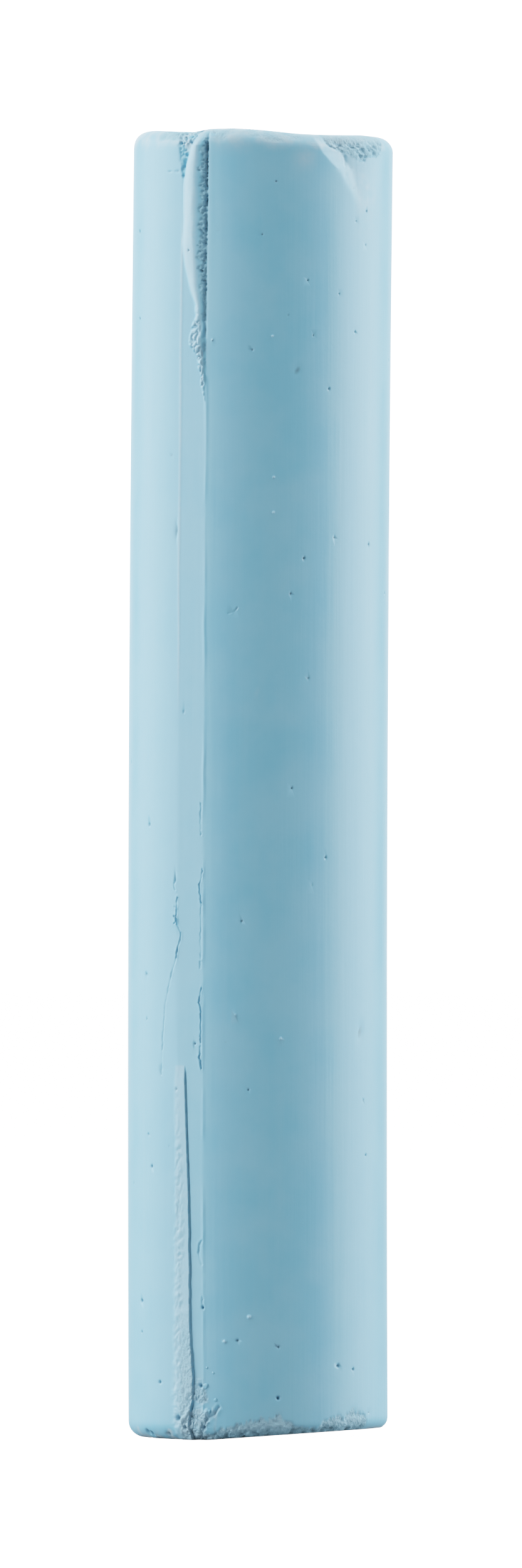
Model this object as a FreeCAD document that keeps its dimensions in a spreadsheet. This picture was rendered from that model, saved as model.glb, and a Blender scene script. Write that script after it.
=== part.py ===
"""A round stick of light blue moulded chalk, 20 mm thick and 100 mm long, standing on its foot.

Frame: millimetres, +Z up along the stick, origin at the middle of the foot. -Y is the front, the side with the
land where the mould closed; +X is to the right of it. An angle on the stick is counted from the front, positive
towards the right.

The stick is one casting, so what the mould and the hand left on it is raised or cut on the casting itself: the
flat land of the seam, the seam beads, two fins of flash, the rounded rims, the worn foot and the broken places
on both rims. The crumbs that cling beside the lower fin are separate grains.
"""
import FreeCAD, Part

import os

import Sketcher
from FreeCAD import Placement, Rotation, Vector

doc = FreeCAD.newDocument("chalk_stick")


# ---------------------------------------------------------------- driving dimensions, in mm and degrees

DIMENSIONS = [
    # the casting
    ("stick_dia", 20.0, "diameter"),
    ("stick_len", 100.35, "length along the axis"),
    ("rim_round", 1.2, "rounding of both rims"),
    ("top_slant", 1.4, "fall of the top face to the right"),
    ("spare", 2.0, "how far a blank or a cut runs past what it is trimmed to"),
    # the seam: a flat land between two angles, and a bead on its inner edge and on the far side
    ("land_inner", -25.0, "angle of the land's inner edge"),
    ("land_outer", -38.0, "angle of its outer edge"),
    ("bead_width", 0.3, "width of a seam bead at its root"),
    ("bead_height", 0.06, "height of a seam bead"),
    ("bead_root", 0.2, "how deep a bead's section reaches into the stick"),
    # the two fins of flash that stand on the land
    ("fin_foot", 0.1, "how far under the surface a fin's flanks start"),
    ("fin_root", 0.8, "how deep a fin's section reaches into the stick"),
    ("upper_fin_tip", 80.5, "height at which the upper fin runs out"),
    ("upper_fin_height", 0.42, "how far it stands proud"),
    ("lower_fin_tip", 28.6, "height at which the lower fin runs out"),
    ("lower_fin_height", 0.26, "how far it stands proud"),
    # the foot's wear
    ("wear_slope", 4.9, "slope of the worn part of the foot"),
    ("wear_start", 2.0, "distance from the axis to the start of the wear"),
    ("wear_turn", 36.9, "direction of the wear, from the right towards the front"),
    # the flake broken from the top rim
    ("chip_angle", 50.0, "angle of the flake's middle"),
    ("chip_drop", 4.2, "how far it runs down the side"),
    ("chip_depth", 0.6, "how deep it is at the top"),
    # the row of flakes spalled from the foot's rim, over the worn part
    ("spall_first", -20.0, "angle of the first"),
    ("spall_step", 12.0, "angle from one to the next"),
    ("spall_count", 7, "how many there are"),
    ("spall_drop", 1.35, "how far they run up the side"),
    ("spall_depth", 1.05, "how deep they are at the foot"),
    # the grains that cling beside the lower fin
    ("crumb_size", 0.8, "length of the largest grain"),
]

sheet = doc.addObject("Spreadsheet::Sheet", "dims")
for row, (alias, value, meaning) in enumerate(DIMENSIONS, start=1):
    sheet.set(f"A{row}", alias)
    sheet.set(f"B{row}", str(value))
    sheet.set(f"C{row}", meaning)
    sheet.setAlias(f"B{row}", alias)
doc.recompute()

RADIUS = "dims.stick_dia / 2"


# ---------------------------------------------------------------- places on the stick, as expressions

def side_x(angle, radius):
    """X of the place at an angle and a distance from the axis."""
    return f"({radius}) * sin({angle})"


def side_y(angle, radius):
    """Y of the same place."""
    return f"-({radius}) * cos({angle})"


# ---------------------------------------------------------------- sketches

def origin_feature(body, role):
    """One of a body's own origin planes or axes."""
    return next(feature for feature in body.Origin.OriginFeatures if feature.Role == role)


def new_sketch(body, name, role, height="0", turn="0"):
    """A sketch on an origin plane of a body, raised to a height, or turned about the plane's upright axis."""
    sketch = body.newObject("Sketcher::SketchObject", name)
    sketch.AttachmentSupport = [(origin_feature(body, role), "")]
    sketch.MapMode = "FlatFace"
    sketch.AttachmentOffset = Placement(Vector(), Rotation(Vector(0, 1, 0), 1))
    sketch.setExpression("AttachmentOffset.Base.z", height)
    sketch.setExpression("AttachmentOffset.Rotation.Angle", turn)
    doc.recompute()
    return sketch


def pin_down(sketch, edge, end, x, y):
    """Ties an edge's start (1) or end (2) to the expressions x and y, measured from the sketch's origin."""
    for kind, place in (("DistanceX", x), ("DistanceY", y)):
        value = float(sketch.evalExpression(place))
        number = sketch.addConstraint(Sketcher.Constraint(kind, -1, 1, edge, end, value))
        sketch.setExpression(f"Constraints[{number}]", place)


def add_polygon(sketch, corners):
    """A closed polygon. Each corner is a pair of expressions."""
    points = [Vector(*(float(sketch.evalExpression(place)) for place in corner), 0) for corner in corners]
    for start, end in zip(points, points[1:] + points[:1]):
        sketch.addGeometry(Part.LineSegment(start, end), False)
    for edge in range(len(corners)):
        following = (edge + 1) % len(corners)
        sketch.addConstraint(Sketcher.Constraint("Coincident", edge, 2, following, 1))
    for edge, (x, y) in enumerate(corners):
        pin_down(sketch, edge, 1, x, y)


# ---------------------------------------------------------------- features

def raise_up(name, sketch, length):
    """Adds a section, carried straight up for a length."""
    feature = stick.newObject("PartDesign::Pad", name)
    feature.Profile = sketch
    feature.setExpression("Length", length)
    doc.recompute()


def cut_through(name, sketch):
    """Cuts a sketch through the whole stick, both ways from its plane."""
    before = stick.Shape.Volume
    feature = stick.newObject("PartDesign::Pocket", name)
    feature.Profile = sketch
    feature.Type = "ThroughAll"
    feature.SideType = "Symmetric"
    doc.recompute()
    assert feature.Shape.Volume < before, f"{name} cuts nothing"


def round_rim(name, height):
    """Rounds the one rim that lies within the rounding of a height."""
    near = float(sheet.get("rim_round"))
    base = stick.Tip
    rim = [
        f"Edge{number}"
        for number, edge in enumerate(base.Shape.Edges, start=1)
        if abs(edge.CenterOfMass.z - height) < near and edge.BoundBox.ZLength < near
    ]
    feature = stick.newObject("PartDesign::Fillet", name)
    feature.Base = (base, rim)
    feature.setExpression("Radius", "dims.rim_round")
    doc.recompute()


def break_off(name, angle, level, outwards, drop, depth):
    """Breaks a flake off a rim, with a plane that leans across it, at an angle round the stick.

    The plane meets the side at the drop from the level, and stands the depth inside the side at the level.
    outwards is 1 for the top rim and -1 for the foot's.
    """
    sketch = new_sketch(stick, f"{name}_section", "XZ_Plane", turn=f"{angle} - 90")
    run = f"({depth}) / ({drop}) * dims.spare"
    past = f"{level} + {outwards} * dims.spare"
    short = f"{level} - {outwards} * (({drop}) + dims.spare)"
    add_polygon(sketch, [
        (f"{RADIUS} + {run}", short),
        (f"{RADIUS} - ({depth}) - {run}", past),
        (f"{RADIUS} + 2 * dims.spare", past),
        (f"{RADIUS} + 2 * dims.spare", short),
    ])
    cut_through(name, sketch)


# ---------------------------------------------------------------- the stick: the trimmed and rounded blank

stick = doc.addObject("PartDesign::Body", "chalk_stick")
stick.Label = "chalk_stick"

section = new_sketch(stick, "stick_section", "XY_Plane")
section.addGeometry(Part.Circle(Vector(), Vector(0, 0, 1), 10), False)
section.addConstraint(Sketcher.Constraint("Coincident", 0, 3, -1, 1))
radius_number = section.addConstraint(Sketcher.Constraint("Radius", 0, 10))
section.setExpression(f"Constraints[{radius_number}]", RADIUS)
raise_up("blank", section, "dims.stick_len + dims.spare")

# The top is trimmed at a slight slant, down to the right.
trim = new_sketch(stick, "top_trim", "XZ_Plane")
reach = f"({RADIUS} + dims.spare)"
trim_top = "dims.stick_len + 2 * dims.spare"
add_polygon(trim, [
    (f"-{reach}", f"dims.stick_len + {reach} * tan(dims.top_slant)"),
    (reach, f"dims.stick_len - {reach} * tan(dims.top_slant)"),
    (reach, trim_top),
    (f"-{reach}", trim_top),
])
cut_through("slanted_top", trim)
round_rim("round_top_rim", float(sheet.get("stick_len")))
round_rim("round_foot_rim", 0)

# The foot is worn at a slope, towards the front and the right. The rest of it stays flat.
wear = new_sketch(stick, "foot_wear", "XZ_Plane", turn="-dims.wear_turn")
add_polygon(wear, [
    ("dims.wear_start", "0"),
    (reach, f"({reach} - dims.wear_start) * tan(dims.wear_slope)"),
    (reach, "-dims.spare"),
    ("dims.wear_start", "-dims.spare"),
])
cut_through("worn_foot", wear)


# ---------------------------------------------------------------- the breaks on the rims

break_off("rim_chip", "dims.chip_angle", "dims.stick_len", 1, "dims.chip_drop", "dims.chip_depth")

for number in range(round(float(sheet.get("spall_count")))):
    turn = f"(dims.spall_first + {number} * dims.spall_step)"
    break_off(f"foot_spall_{number}", turn, "0", -1, "dims.spall_drop", "dims.spall_depth")


# ---------------------------------------------------------------- the seam: land, beads and fins of flash

# The land is a flat strip: the chord between its two edges, cut off all the way up.
land = new_sketch(stick, "land_section", "XY_Plane")
outside = f"({RADIUS} + dims.spare)"
add_polygon(land, [
    (side_x("dims.land_inner", RADIUS), side_y("dims.land_inner", RADIUS)),
    (side_x("dims.land_outer", RADIUS), side_y("dims.land_outer", RADIUS)),
    (side_x("dims.land_outer", outside), side_y("dims.land_outer", outside)),
    (side_x("dims.land_inner", outside), side_y("dims.land_inner", outside)),
])
cut_through("seam_land", land)


def seam_bead(name, angle):
    """A fine raised line from the foot's rounding to the top's, where a thread of chalk crept into the seam."""
    sketch = new_sketch(stick, f"{name}_section", "XY_Plane", height="dims.rim_round")
    half = f"dims.bead_width / 2 / ({RADIUS}) * 180 / pi"
    base = f"{RADIUS} - dims.bead_root / 2"
    add_polygon(sketch, [
        (side_x(f"{angle} - {half}", base), side_y(f"{angle} - {half}", base)),
        (side_x(angle, f"{RADIUS} + dims.bead_height"), side_y(angle, f"{RADIUS} + dims.bead_height")),
        (side_x(f"{angle} + {half}", base), side_y(f"{angle} + {half}", base)),
        (side_x(angle, f"{RADIUS} - dims.bead_root"), side_y(angle, f"{RADIUS} - dims.bead_root")),
    ])
    raise_up(name, sketch, "dims.stick_len - 2 * dims.rim_round")


seam_bead("front_bead", "dims.land_inner")
seam_bead("back_bead", "(dims.land_inner + 180)")


def fin(name, tip, height, rim, sections):
    """A fin of flash, lofted from its tip to a rim. Its flanks rise from just under the surface to a crest.

    Each section is its share of the way to the rim, its left edge, crest and right edge in degrees to the left
    of the land's inner edge, and its crest's share of the fin's height. The last one dips into the rim.
    """
    sketches = []
    for number, (share, left, crest, right, rise) in enumerate(sections):
        level = f"({tip} + {share} * ({rim} - {tip}))"
        sketch = new_sketch(stick, f"{name}_section_{number}", "XY_Plane", height=level)
        corners = [
            (left, f"{RADIUS} - dims.fin_foot"),
            (crest, f"{RADIUS} + {rise} * {height}"),
            (right, f"{RADIUS} - dims.fin_foot"),
            (crest, f"{RADIUS} - dims.fin_root"),
        ]
        add_polygon(sketch, [
            (side_x(f"dims.land_inner - {turn}", radius), side_y(f"dims.land_inner - {turn}", radius))
            for turn, radius in corners
        ])
        sketches.append(sketch)
    feature = stick.newObject("PartDesign::AdditiveLoft", name)
    feature.Profile = sketches[0]
    feature.Sections = sketches[1:]
    feature.Ruled = True
    doc.recompute()


fin("upper_fin", "dims.upper_fin_tip", "dims.upper_fin_height", "dims.stick_len", [
    (0.00, 2.5, 1.3, 0.3, 0.05),
    (0.30, 7.2, 4.6, -0.7, 0.55),
    (0.58, 10.9, 7.8, -1.6, 0.90),
    (0.87, 9.9, 6.9, -2.5, 1.00),
    (0.93, 7.8, 4.9, -2.5, 0.70),
    (0.98, 5.5, 2.7, -2.2, -1.00),
])
fin("lower_fin", "dims.lower_fin_tip", "dims.lower_fin_height", "0", [
    (0.00, 12.6, 9.2, 8.8, 0.05),
    (0.30, 14.4, 8.2, 7.2, 0.55),
    (0.68, 15.1, 5.9, 4.9, 0.85),
    (0.89, 15.6, 4.3, 3.3, 1.00),
    (0.96, 15.0, 4.8, 3.8, 0.75),
    (0.985, 14.0, 6.5, 5.5, -1.20),
])


# ---------------------------------------------------------------- the grains that cling beside the lower fin

def grain(angle, height, share, turn):
    """An oblong grain, half sunk in the stick's side. share is its length as a share of the largest one's."""
    lump = doc.addObject("Part::Ellipsoid", "grain")
    lump.Placement = Placement(Vector(), Rotation(Vector(0, 0, 1), turn))
    lump.setExpression("Placement.Base.x", side_x(angle, RADIUS))
    lump.setExpression("Placement.Base.y", side_y(angle, RADIUS))
    lump.setExpression("Placement.Base.z", height)
    for radius, slimness in (("Radius1", 1.0), ("Radius2", 0.8), ("Radius3", 0.6)):
        lump.setExpression(radius, f"dims.crumb_size / 2 * {share} * {slimness}")
    return lump


grains = doc.addObject("Part::Compound", "grains")
grains.Links = [
    grain("-22.0", "4.2", 1.0, 10),
    grain("-20.5", "2.3", 0.8, 40),
    grain("-18.0", "5.6", 0.6, 75),
    grain("-16.5", "3.4", 0.7, 120),
    grain("-21.5", "7.4", 0.5, 0),
]

# What is left of the grains outside the stick rests on its side, face to face.
crumbs = doc.addObject("Part::Cut", "clinging_crumbs")
crumbs.Base = grains
crumbs.Tool = stick
crumbs.Label = "clinging_crumbs"
doc.recompute()


# ---------------------------------------------------------------- checks and files

for thing in doc.Objects:
    assert not {"Invalid", "Error"} & set(thing.State), f"{thing.Label} failed: {thing.State}"

os.makedirs("parts", exist_ok=True)
for piece, solids in ((stick, 1), (crumbs, len(grains.Links))):
    shape = piece.Shape
    assert not shape.isNull() and shape.isValid(), f"{piece.Label} has a bad shape"
    assert len(shape.Solids) == solids, f"{piece.Label} has {len(shape.Solids)} solids"
    shape.exportStep(f"parts/{piece.Label}.step")
    print(f"{piece.Label}: {len(shape.Solids)} solids, {shape.Volume:.2f} cubic mm, {shape.BoundBox}")
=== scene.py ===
"""A round stick of light blue moulded chalk, standing on its foot.

One casting of dyed plaster, shaped here as it is made: a turned blank, the seam where the mould's halves
met, the flash that crept into it, and the breaks, pores and cracks of a stick that has been handled. Angles
go round the stick from its front, positive to the right. Lengths are in millimetres until a mesh is finished.
"""
import math
import random

import bmesh
import bpy
from mathutils import Matrix, Vector, noise


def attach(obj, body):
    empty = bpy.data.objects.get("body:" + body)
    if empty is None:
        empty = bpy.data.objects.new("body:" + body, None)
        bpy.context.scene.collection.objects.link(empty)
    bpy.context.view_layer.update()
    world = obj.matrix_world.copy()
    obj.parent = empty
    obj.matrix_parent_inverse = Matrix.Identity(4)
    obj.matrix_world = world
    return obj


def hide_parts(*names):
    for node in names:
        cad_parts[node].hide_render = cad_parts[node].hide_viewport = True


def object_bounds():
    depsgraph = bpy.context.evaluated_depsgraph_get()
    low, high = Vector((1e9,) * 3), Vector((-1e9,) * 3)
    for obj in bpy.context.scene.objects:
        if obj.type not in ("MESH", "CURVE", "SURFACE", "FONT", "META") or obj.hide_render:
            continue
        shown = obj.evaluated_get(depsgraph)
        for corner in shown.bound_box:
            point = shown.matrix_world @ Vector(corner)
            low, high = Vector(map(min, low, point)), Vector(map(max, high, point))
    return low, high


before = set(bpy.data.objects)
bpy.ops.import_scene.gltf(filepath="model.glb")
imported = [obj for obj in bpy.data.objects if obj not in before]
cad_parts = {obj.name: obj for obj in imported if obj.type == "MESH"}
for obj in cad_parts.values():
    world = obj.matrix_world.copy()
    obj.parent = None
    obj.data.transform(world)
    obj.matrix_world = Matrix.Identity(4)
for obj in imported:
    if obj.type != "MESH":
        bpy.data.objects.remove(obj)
cad_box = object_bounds()


# ---------------------------------------------------------------------------------- the blank
# The stick as the mould leaves it: a plain round bar of dyed plaster with both rims rounded. Its profile is
# spun in sectors, with close columns over the seam's land and wide ones at the back, and has close rows near
# both ends.

METRE = 1000.0
RADIUS = (cad_box[1][0] - cad_box[0][0]) / 2 * METRE
TOP_SLANT = math.radians(1.4)
RIM_ROUND = 1.2
RIM_STEPS = 8
LENGTH = cad_box[1][2] * METRE - (RADIUS - RIM_ROUND) * math.tan(TOP_SLANT)
WELD = 0.001

cap_radii = [0.0, 0.8, 1.7, 2.6, 3.5, 4.4, 5.2, 6.0, 6.7, 7.3, 7.9, 8.4]
row_zones = [  # from and to a height, and the height of a row
    (RIM_ROUND, 4.0, 0.28), (4.0, 28.8, 0.4), (28.8, 78.4, 0.62), (78.4, 94.8, 0.4),
    (94.8, LENGTH - RIM_ROUND, 0.28),
]
sectors = [  # from and to an angle, and the number of columns
    (-180, -90, 24), (-90, -48, 20), (-48, -40, 8), (-40, -22, 40), (-22, -12, 9), (-12, 90, 54),
    (90, 180, 24),
]


def rim_arc(middle_height, upwards):
    """Points of a rounded rim, from the end face round to the side."""
    points = []
    for step in range(RIM_STEPS + 1):
        turn = math.radians(90 * step / RIM_STEPS)
        inset = RIM_ROUND * (1 - math.sin(turn))
        points.append((RADIUS - inset, middle_height + upwards * RIM_ROUND * math.cos(turn)))
    return points


profile = [(radius, 0.0) for radius in cap_radii] + rim_arc(RIM_ROUND, -1)
for low, high, step in row_zones:
    rows = round((high - low) / step)
    profile += [(RADIUS, low + (high - low) * row / rows) for row in range(1, rows)]
    profile += [(RADIUS, high)]
profile += rim_arc(LENGTH - RIM_ROUND, 1)[-2::-1]
profile += [(radius, LENGTH) for radius in reversed(cap_radii)]

stick = bmesh.new()
# Marks for the material: broken and fresh chalk, pale powder that is in places also painted highlight and
# painted bounce light, and painted shade in pores, cracks, crevices, pits and gaps.
broken = stick.verts.layers.float.new("broken")
fresh = stick.verts.layers.float.new("fresh")
painted_shade = stick.verts.layers.float.new("painted_shade")
dust_and_painted_light = stick.verts.layers.float.new("dust_and_painted_light")
line = [stick.verts.new((0.0, radius, height)) for radius, height in profile]
geometry = line + [stick.edges.new(pair) for pair in zip(line, line[1:])]
for start, end, columns in sectors:
    spun = bmesh.ops.spin(stick, geom=geometry, cent=(0, 0, 0), axis=(0, 0, 1), dvec=(0, 0, 0),
                          angle=math.radians(end - start), steps=columns, use_merge=False)
    geometry = spun["geom_last"]
bmesh.ops.remove_doubles(stick, verts=stick.verts, dist=WELD)


# ---------------------------------------------------------------------------------- the marks' places
# Air bubbles leave round pores where they met the mould, and drying opened a crack beside the seam's land
# with a hair line below it. Their places come before anything is pushed in, because the blank's faces are
# divided more finely there.

pores = [  # angle, height, width
    (-71, 92.8, 0.34), (-45.6, 97.3, 0.26), (-41.4, 97.3, 0.28), (20.6, 88.9, 0.2), (0, 92.4, 0.2),
    (-69.5, 86.1, 0.26), (53, 94.3, 0.24), (46, 85.0, 0.22), (16.5, 82.0, 0.2), (31.5, 80.6, 0.26),
    (-20.4, 87.6, 0.2), (-43, 75.5, 0.2), (-39.7, 69.7, 0.26), (20, 67.6, 0.3), (35, 69.2, 0.24),
    (57, 68.7, 0.26), (14, 64.9, 0.26), (22.4, 58.4, 0.24), (15, 50.0, 0.24), (-56.6, 47.2, 0.3),
    (31.3, 44.7, 0.26), (-63.6, 40.6, 0.26), (-7, 39.8, 0.26), (-19.2, 36.0, 0.24), (-59, 35.7, 0.28),
    (-29, 30.4, 0.28), (-4, 26.9, 0.24), (56.4, 21.8, 0.24), (-57, 23.4, 0.22), (-25, 10.2, 0.34),
    (-63, 10.6, 0.4), (9.2, 7.2, 0.3), (-8.9, 7.7, 0.32), (8.9, 3.3, 0.42), (38, 5.7, 0.36),
    (47, 5.4, 0.28), (-48.8, 4.4, 0.34), (-37.7, 1.7, 0.6), (-33.8, 1.0, 0.5), (-26, 4.2, 0.4),
    (-24.6, 1.0, 0.5), (-60, 0.5, 0.6), (-57, 0.4, 0.5), (-45, 0.4, 0.5), (-63, 8.2, 0.22),
    (52.5, 91.7, 0.18), (45.9, 93.5, 0.18), (44.4, 96.0, 0.18), (36.4, 87.9, 0.18), (11.9, 86.2, 0.16),
    (23.6, 84.7, 0.18), (-20.1, 92.7, 0.18), (-33.5, 91.2, 0.24), (-21.2, 36.8, 0.2), (6.6, 31.1, 0.16),
    (-58.4, 32.3, 0.2), (-61, 33.2, 0.18), (-38.4, 26.9, 0.24),
]
pips = [  # the same for the small lumps that pores in the mould left
    (-10, 32.6, 0.3), (10.3, 30.8, 0.28), (38.3, 35.6, 0.26), (6, 73.8, 0.24), (6, 71.1, 0.24),
    (-1.2, 57.3, 0.26), (-14.6, 7.6, 0.34), (-3.7, 9.5, 0.36), (-21.9, 84.3, 0.24), (-23, 2.2, 0.5),
    (4.9, 84.6, 0.22),
]

SCATTERED_PORES = 30
SCATTERED_AT_THE_BACK = 0.75
dice = random.Random(11)
for _ in range(SCATTERED_PORES):
    angle = dice.uniform(80, 320) if dice.random() < SCATTERED_AT_THE_BACK else dice.uniform(-60, 80)
    pores.append((angle, dice.uniform(2, LENGTH - 2), dice.uniform(0.16, 0.32)))

hair_line = [(-38.6, 37.0), (-40.0, 36.4), (-42.3, 35.2), (-44.9, 33.5), (-46.6, 31.0), (-47.6, 28.0)]
foot_crack = [(-23.0, 1.6), (-21.6, 1.9), (-19.6, 2.0), (-17.6, 2.6)]
cracks = [  # path as angles and heights, depth, half width
    ([(-38.0, 41.6), (-38.7, 40.6), (-38.9, 40.1), (-38.1, 39.5), (-36.2, 38.9), (-36.6, 38.3), (-38.1, 37.7),
      (-38.6, 37.0)], 0.11, 0.045),
    ([(-40.2, 40.2), (-39.0, 40.0), (-38.1, 39.5)], 0.09, 0.05),
    ([(-40.3, 39.6), (-39.2, 39.7), (-38.3, 39.6)], 0.07, 0.045),
    ([(-39.9, 40.9), (-38.8, 40.8)], 0.07, 0.045),
    (hair_line, 0.045, 0.055),
    ([(-39.0, 43.1), (-40.1, 42.6), (-39.9, 42.3), (-39.2, 42.2)], 0.08, 0.055),
    ([(-25.4, 43.8), (-25.6, 43.1), (-26.8, 42.6), (-26.6, 42.1), (-26.0, 41.7), (-25.7, 41.2)], 0.1, 0.05),
    ([(-25.7, 41.2), (-26.0, 39.4), (-25.9, 36.9)], 0.03, 0.05),
    ([(-26.0, 36.7), (-26.3, 36.2)], 0.06, 0.06),
    ([(-25.6, 34.7), (-26.1, 34.1), (-26.8, 33.6), (-26.1, 33.2), (-25.8, 32.9), (-25.9, 31.6),
      (-25.8, 30.5)], 0.08, 0.045),
    ([(-25.8, 30.2), (-26.7, 29.4), (-26.0, 29.1), (-25.5, 28.5)], 0.1, 0.055),
    ([(-26.0, 48.8), (-26.2, 47.6), (-26.0, 46.4)], 0.04, 0.06),
    ([(-25.2, 15.3), (-26.7, 14.9), (-27.0, 14.4), (-26.6, 13.9), (-25.3, 13.5)], 0.07, 0.07),
    ([(-25.0, 11.0), (-24.7, 10.1)], 0.07, 0.07),
    ([(-13.6, 63.4), (-11.0, 63.5), (-9.4, 63.8)], 0.04, 0.06),
    (foot_crack, 0.18, 0.09),
]
lower_crest = [  # height and angle of the lower fin's edge
    (0.0, -31.3), (1.6, -31.9), (3.1, -29.9), (5.3, -29.9), (8.7, -31.3), (12.0, -31.6), (14.3, -31.6),
    (19.4, -32.1), (23.2, -33.1), (28.6, -34.2),
]


def round_mm(degrees):
    """The length round the side of an angle at the axis."""
    return math.radians(degrees) * RADIUS


def gap(angle, height, other_angle, other_height):
    """The distance along the side between two places."""
    turn = (angle - other_angle + 180) % 360 - 180
    return math.hypot(round_mm(turn), height - other_height)


def gap_to_path(angle, height, path):
    """The distance along the side from a place to a path."""
    here = Vector((round_mm(angle), height))
    shortest = RADIUS
    for (angle_1, height_1), (angle_2, height_2) in zip(path, path[1:]):
        start = Vector((round_mm(angle_1), height_1))
        run = Vector((round_mm(angle_2), height_2)) - start
        share = min(max((here - start).dot(run) / run.length_squared, 0), 1)
        shortest = min(shortest, (here - start - run * share).length)
    return shortest


def near_a_pore(angle, height):
    """True beside a pore or a pip."""
    return any(
        abs(height - up) < 0.5 and gap(angle, height, turn, up) < 0.14 + width / 2
        for turn, up, width in pores + pips
    )


def near_a_pip(angle, height):
    """True on a pip and close round it."""
    return any(gap(angle, height, turn, up) < 0.08 + width / 2 for turn, up, width in pips)


def near_a_crack(distance):
    """A test that is true closer than a distance to a crack's path."""
    def near(angle, height):
        return any(
            max(path[0][1], path[-1][1]) + 1 > height > min(path[0][1], path[-1][1]) - 1
            and gap_to_path(angle, height, path) < distance
            for path, depth, half_width in cracks if path is not foot_crack
        )
    return near


def follow(points, height):
    """The value at a height on a line through (height, value) points."""
    if height <= points[0][0]:
        return points[0][1]
    for (height_1, value_1), (height_2, value_2) in zip(points, points[1:]):
        if height <= height_2:
            return value_1 + (value_2 - value_1) * (height - height_1) / (height_2 - height_1)
    return points[-1][1]


def near_lower_crest(angle, height):
    """True over the lower fin's edge and the crevice beside it."""
    return height < 28.9 and -1.2 < angle - follow(lower_crest, height) < 2.0


def place_of(point):
    """The angle and the height of a point on the stick."""
    return math.degrees(math.atan2(point.x, -point.y)), point.z


def refine(near, cuts, rows_only=False, longer_than=0.0):
    """Divides the side's faces where near(angle, height) is true, both ways or only into more rows."""
    edges = set()
    for face in stick.faces:
        middle = face.calc_center_median()
        if math.hypot(middle.x, middle.y) > RADIUS - RIM_ROUND and near(*place_of(middle)):
            edges.update(edge for edge in face.edges if edge.calc_length() > longer_than)
    if rows_only:
        edges = {edge for edge in edges if abs(edge.verts[0].co.z - edge.verts[1].co.z) > WELD}
    bmesh.ops.subdivide_edges(stick, edges=list(edges), cuts=cuts, use_grid_fill=True)


# Both fins, the seam's tears, the crumbled chalk beside the lower fin, the foot's rim, the chip and the top
# rim.
refine(lambda angle, height: -43 < angle < -21.5 and height < 28.9, 2, rows_only=True)
refine(lambda angle, height: -43 < angle < -21.5 and height > 78.3, 2, rows_only=True)
refine(lambda angle, height: -29 < angle < -23 and 28.9 < height < 53, 2, rows_only=True)
refine(near_lower_crest, 1)
refine(lambda angle, height: -33 < angle < -16 and height < 5.5, 1)
refine(lambda angle, height: -33.5 < angle < -24.4 and height > 80, 1, rows_only=True)
refine(lambda angle, height: -16 < angle < 60 and height < 2.1, 2)
refine(lambda angle, height: 22 < angle < 72 and height > 97.6, 2)
refine(lambda angle, height: 22 < angle < 76 and 94.9 < height < 97.6, 1)
refine(lambda angle, height: -60 < angle < 22 and height > 99.4, 1)
refine(near_a_pore, 4, longer_than=0.2)
refine(near_a_pip, 1, longer_than=0.05)
refine(near_a_crack(0.25), 4, longer_than=0.3)
refine(near_a_crack(0.16), 2, longer_than=0.15)
refine(near_a_crack(0.12), 1, longer_than=0.06)


# Every vertex of the side and the rims, with its place and the way out of the casting. All the marks below
# are pushed in or out along that direction.
skin = []
for vertex in stick.verts:
    radius = math.hypot(vertex.co.x, vertex.co.y)
    middle_height = min(max(vertex.co.z, RIM_ROUND), LENGTH - RIM_ROUND)
    if radius > RADIUS - RIM_ROUND:
        across = Vector((vertex.co.x / radius, vertex.co.y / radius, 0))
        outward = across * (radius - RADIUS + RIM_ROUND) + Vector((0, 0, vertex.co.z - middle_height))
        skin.append((vertex, *place_of(vertex.co), outward.normalized()))


def patch(angle_low, angle_high, height_low, height_high):
    """The part of the skin between two angles and two heights."""
    return [
        spot for spot in skin
        if angle_low < spot[1] < angle_high and height_low < spot[2] < height_high
    ]


def mark(vertex, layer, amount):
    """Raises one of the skin's marks for the material, up to 1."""
    vertex[layer] = max(vertex[layer], min(amount, 1.0))


# ---------------------------------------------------------------------------------- the seam
# Where the mould's two halves met, their worn edges left a flat land down the front left, with a faint
# ridge on its outer edge and a torn bead on its inner edge. The far seam has only its bead.

LAND_OUTER = -38.0
LAND_INNER = -25.0
LAND_MIDDLE = (LAND_INNER + LAND_OUTER) / 2
LAND_HALF = (LAND_INNER - LAND_OUTER) / 2
EDGE_SOFTNESS = 0.0004
LAND_LIFT = 0.005
RIDGE_HEIGHT = 0.02
RIDGE_WIDTH = 0.11
BEAD_WIDTH = 0.7


def fade(value, start, end):
    """0 at the start, 1 at the end, and smooth between them. The start may be the higher of the two."""
    share = min(max((value - start) / (end - start), 0), 1)
    return share * share * (3 - 2 * share)


def between(value, start, full, waning, gone):
    """1 between two values, and smoothly less outside them."""
    return fade(value, start, full) * fade(value, gone, waning)


def swell(offset, width):
    """A smooth rise that is 1 where the offset is nothing, and dies away beyond the width."""
    return math.exp(-(offset / width) ** 2)


def grit(point, size):
    """Unevenness of about a size, from -1 to 1, the same each run."""
    return noise.noise(Vector(point) / size)


def waver(which, height, size, line=0):
    """Unevenness up the side, from -1 to 1. Each number gives another one."""
    return grit((which, line, height), size)


for vertex, angle, height, outward in patch(LAND_OUTER - 3, LAND_INNER + 1, -1, LENGTH + 1):
    turn = angle - LAND_MIDDLE
    sag = RADIUS * (1 - math.cos(math.radians(LAND_HALF)) / math.cos(math.radians(turn)))
    eased = (sag + math.sqrt(sag * sag + EDGE_SOFTNESS)) / 2
    vertex.co -= outward * (eased - LAND_LIFT * fade(abs(turn), 9, 6.5))

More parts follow.
